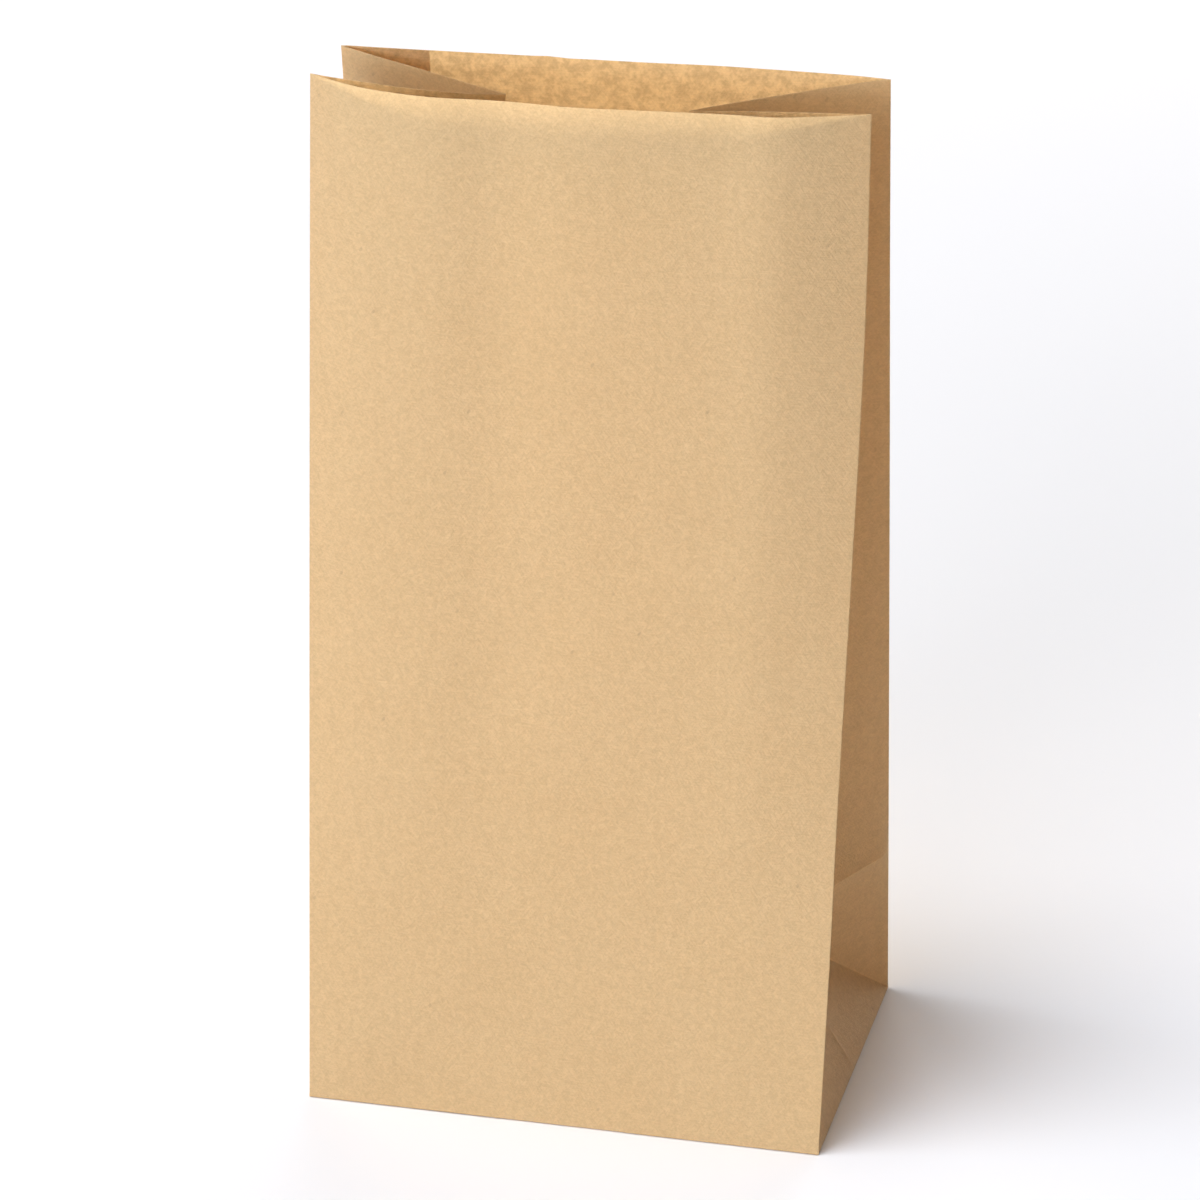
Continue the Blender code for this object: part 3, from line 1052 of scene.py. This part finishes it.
@dataclass
class Studio:
    """The pale floor, the surrounding light and the soft lamps."""

    floor_size: float = 14.0
    floor_colour: Triple = (0.92, 0.92, 0.915)
    around: float = 0.005
    lamps: tuple[SoftLight, ...] = (
        SoftLight("key", -62, 75, 3.0, (1.2, 1.2), 58.0, (0.98, 1.01, 1.08)),
        SoftLight("left_softbox", -62, 50, 3.0, (1.6, 1.6), 13.0),
        SoftLight("front_softbox", -14, 20, 3.0, (1.6, 1.6), 36.0, (1.0, 1.0, 1.06)),
        SoftLight("front_strip", -15, 8, 3.0, (2.6, 0.7), 35.0, (0.93, 1.0, 1.27)),
        SoftLight("back_strip", 180, 6, 3.0, (2.6, 0.7), 130.0, (1.05, 1.0, 0.98)),
        SoftLight("back_right_softbox", 120, 50, 3.0, (1.6, 1.6), 4.5),
    )

    def build(self) -> None:
        """Lay the floor, hang the lamps and light the surroundings."""
        mesh = bmesh.new()
        bmesh.ops.create_grid(mesh, x_segments=1, y_segments=1, size=self.floor_size / 2)
        data = bpy.data.meshes.new("studio_floor")
        mesh.to_mesh(data)
        mesh.free()
        floor = bpy.data.objects.new("studio_floor", data)
        bpy.context.scene.collection.objects.link(floor)
        paint = bpy.data.materials.new("pale_floor")
        paint.use_nodes = True
        paint.node_tree.nodes.clear()
        bench = Bench(paint.node_tree)
        matt = bench.add("ShaderNodeBsdfDiffuse", {"Color": (*self.floor_colour, 1.0)})
        bench.add("ShaderNodeOutputMaterial", {"Surface": matt.outputs[0]})
        data.materials.append(paint)
        for lamp in self.lamps:
            lamp.place()
        world = bpy.data.worlds.new("studio_surroundings")
        world.use_nodes = True
        bench = Bench(world.node_tree)
        seen = bench.add("ShaderNodeLightPath").outputs["Is Camera Ray"]
        strength = bench.sum("MAXIMUM", seen, self.around)
        sky = world.node_tree.nodes["Background"]
        sky.inputs["Color"].default_value = (1.0, 1.0, 1.0, 1.0)
        world.node_tree.links.new(strength, sky.inputs["Strength"])
        bpy.context.scene.world = world
        bpy.context.scene.view_settings.view_transform = "Standard"


@dataclass(frozen=True)
class PhotoCamera:
    """The camera at the photograph's viewing angle, for a frame of equal sides."""

    azimuth: float = math.radians(13.625)
    elevation: float = math.radians(25.535)
    roll: float = math.radians(-0.348)
    distance: float = 1.9859
    target: Triple = (-0.07 * MM, 0.0, 148.34 * MM)
    focal_per_frame: float = 6763.0 / 1200.0
    sensor: float = 36.0
    near_limit: float = 0.05
    far_limit: float = 60.0

    def place(self) -> bpy.types.Object:
        """Set up the camera and make it the scene's camera.

        Returns:
            The camera object.
        """
        away = Vector((math.sin(self.azimuth) * math.cos(self.elevation),
                       -math.cos(self.azimuth) * math.cos(self.elevation),
                       math.sin(self.elevation)))
        right = Vector((math.cos(self.azimuth), math.sin(self.azimuth), 0.0))
        rise = away.cross(right)
        turned = right * math.cos(self.roll) + rise * math.sin(self.roll)
        rise = rise * math.cos(self.roll) - right * math.sin(self.roll)
        data = bpy.data.cameras.new("photo_camera")
        data.sensor_fit = "HORIZONTAL"
        data.sensor_width = self.sensor
        data.lens = self.focal_per_frame * self.sensor
        data.clip_start = self.near_limit
        data.clip_end = self.far_limit
        camera = bpy.data.objects.new("photo_camera", data)
        axes = Matrix((turned, rise, away)).transposed().to_4x4()
        camera.matrix_world = Matrix.Translation(Vector(self.target) + away * self.distance) @ axes
        bpy.context.scene.collection.objects.link(camera)
        bpy.context.scene.camera = camera
        return camera


def lunch_bag(sizes: SheetSizes) -> FoldedSheet:
    """The bag as it stands in the photograph.

    Args:
        sizes: the flat sheet's sizes.

    Returns:
        The sheet, ready to be folded.
    """
    left = PleatedSide(
        sizes, Hand.LEFT, lean=math.radians(31.9), gap=26.8 * MM, centre=-5.4 * MM,
        front_spread=1.9 * MM, back_spread=0.3 * MM, sway=0.9 * MM, pull=1.3 * MM,
        front_bow=curve((0, 0), (0.1, 2.3), (0.3, 4.7), (0.55, 6.0), (0.8, 4.0), (1, 0)),
        back_bow=curve((0, 0), (0.3, 1.4), (0.8, 1.4), (1, 0)), tuck=sizes.ply)
    right = PleatedSide(
        sizes, Hand.RIGHT, lean=math.radians(31.6), gap=27.7 * MM, centre=0.0,
        front_spread=5.0 * MM, back_spread=5.0 * MM, sway=-6.8 * MM, pull=2.5 * MM,
        front_bow=curve((0, 0), (0.2, 1.8), (0.5, 2.3), (0.8, 1.3), (1, 0)),
        back_bow=curve((0, 0), (0.1, -0.5), (0.35, 0), (0.6, 0.5), (1, 0)),
        edge_bow=curve((0, 0), (0.2, 0.4), (0.33, 0.35), (0.57, 0.95), (0.8, 1.25), (1, 0)))
    front = WallPanel(sizes, Half.FRONT, left, right, curve(
        (0, 0), (0.05, 5.5), (0.12, 11.5), (0.24, 15.2), (0.36, 14.0), (0.5, 15.1),
        (0.65, 13.0), (0.75, 11.4), (0.84, 10.8), (0.92, 6.2), (1, 0)))
    back = WallPanel(sizes, Half.BACK, left, right, curve(
        (0, 0), (0.3, 0.65), (0.5, 0.75), (0.72, 1.5), (0.9, 0.7), (1, 0)))
    creases = (
        SoftCrease((108, 4), (172, 66), 0.35, 16),
        SoftCrease((205, 60), (250, 92), -0.30, 14),
        SoftCrease((150, 118), (186, 176), -0.35, 16),
        SoftCrease((170, 98), (205, 99), -0.2, 9),
        SoftCrease((128, 210), (168, 196), -0.25, 18),
        SoftCrease((180, 175), (236, 192), -0.28, 14),
        SoftCrease((150, 300), (236, 262), 0.30, 22),
        SoftCrease((461, 330), (462, 284), 0.60, 6),
        SoftCrease((460, 318), (444, 286), -0.45, 9),
        SoftCrease((420, 325), (404, 262), 0.35, 16),
    )
    return FoldedSheet(sizes, left, right, front, back, PaperSettling(sizes, creases=creases))


def main() -> None:
    """Build the bag, the studio and the camera in order, and report each piece."""
    logging.basicConfig(level=logging.INFO, format="%(name)s: %(message)s")
    sizes = SheetSizes()
    groups = {"fibres": fibre_group(), "formation": formation_group(), "shives": speck_group(),
              "fold_wear_and_light": fold_wear_and_light_group()}
    finishes = [
        KraftFinish("kraft_outer_face").build(groups),
        # The inner face's stronger floc mottle in its colour is partly the paper's own formation
        # and partly painted light, standing for the uneven light that shines through the sheet.
        KraftFinish("kraft_inner_face", shine_through=(0.92, 0.74, 0.485), flocs=0.55,
                    glow_mottle=0.64, roughness=0.9, bump=0.16 * MM).build(groups),
        KraftFinish("kraft_cut_edge", colour=(0.88, 0.70, 0.47), fold_wear_and_light=0.0).build(groups),
    ]
    bag = lunch_bag(sizes).build(finishes)
    LOG.info("%s has %d faces with its thickness", bag.name, len(bag.data.polygons))
    Studio().build()
    camera = PhotoCamera().place()
    LOG.info("%s looks from %s", camera.name, tuple(round(part, 3) for part in camera.location))


if __name__ == "__main__":
    main()
